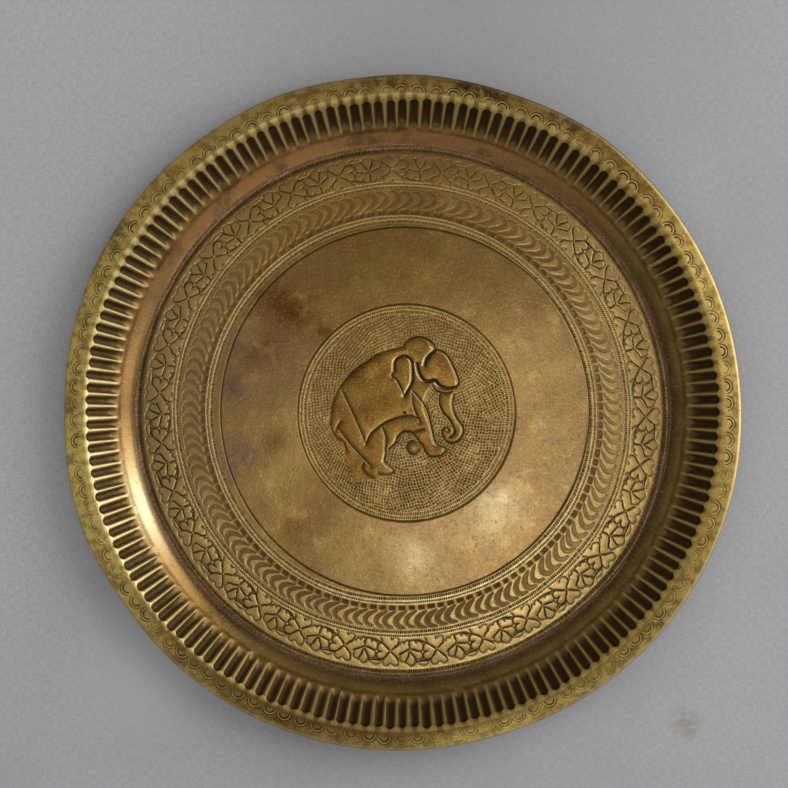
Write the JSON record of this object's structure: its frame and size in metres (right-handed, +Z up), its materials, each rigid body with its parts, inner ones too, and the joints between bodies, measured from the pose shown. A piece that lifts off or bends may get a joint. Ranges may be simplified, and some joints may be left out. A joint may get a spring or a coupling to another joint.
{
  "type": "brass plate",
  "caption": "Shallow round brass plate with a flat floor, a fluted wall and a drooping lip, its edge rolled under round a stiffening wire; for serving or display.",
  "frame": {"origin": "centre of the flat underside that stands on the table", "axes": "+Z up, square to the floor and out of the dish; +X to the right and +Y to the top of the picture, which looks straight down"},
  "size_m": [0.3, 0.3, 0.0209],
  "materials": {
    "brass_sheet": "aged yellow brass, brown in the hollows",
    "iron_wire": "dull drawn iron wire"
  },
  "bodies": {
    "root": {"fluted_dish": "brass_sheet", "rim_wire": "iron_wire"}
  },
  "joints": []
}
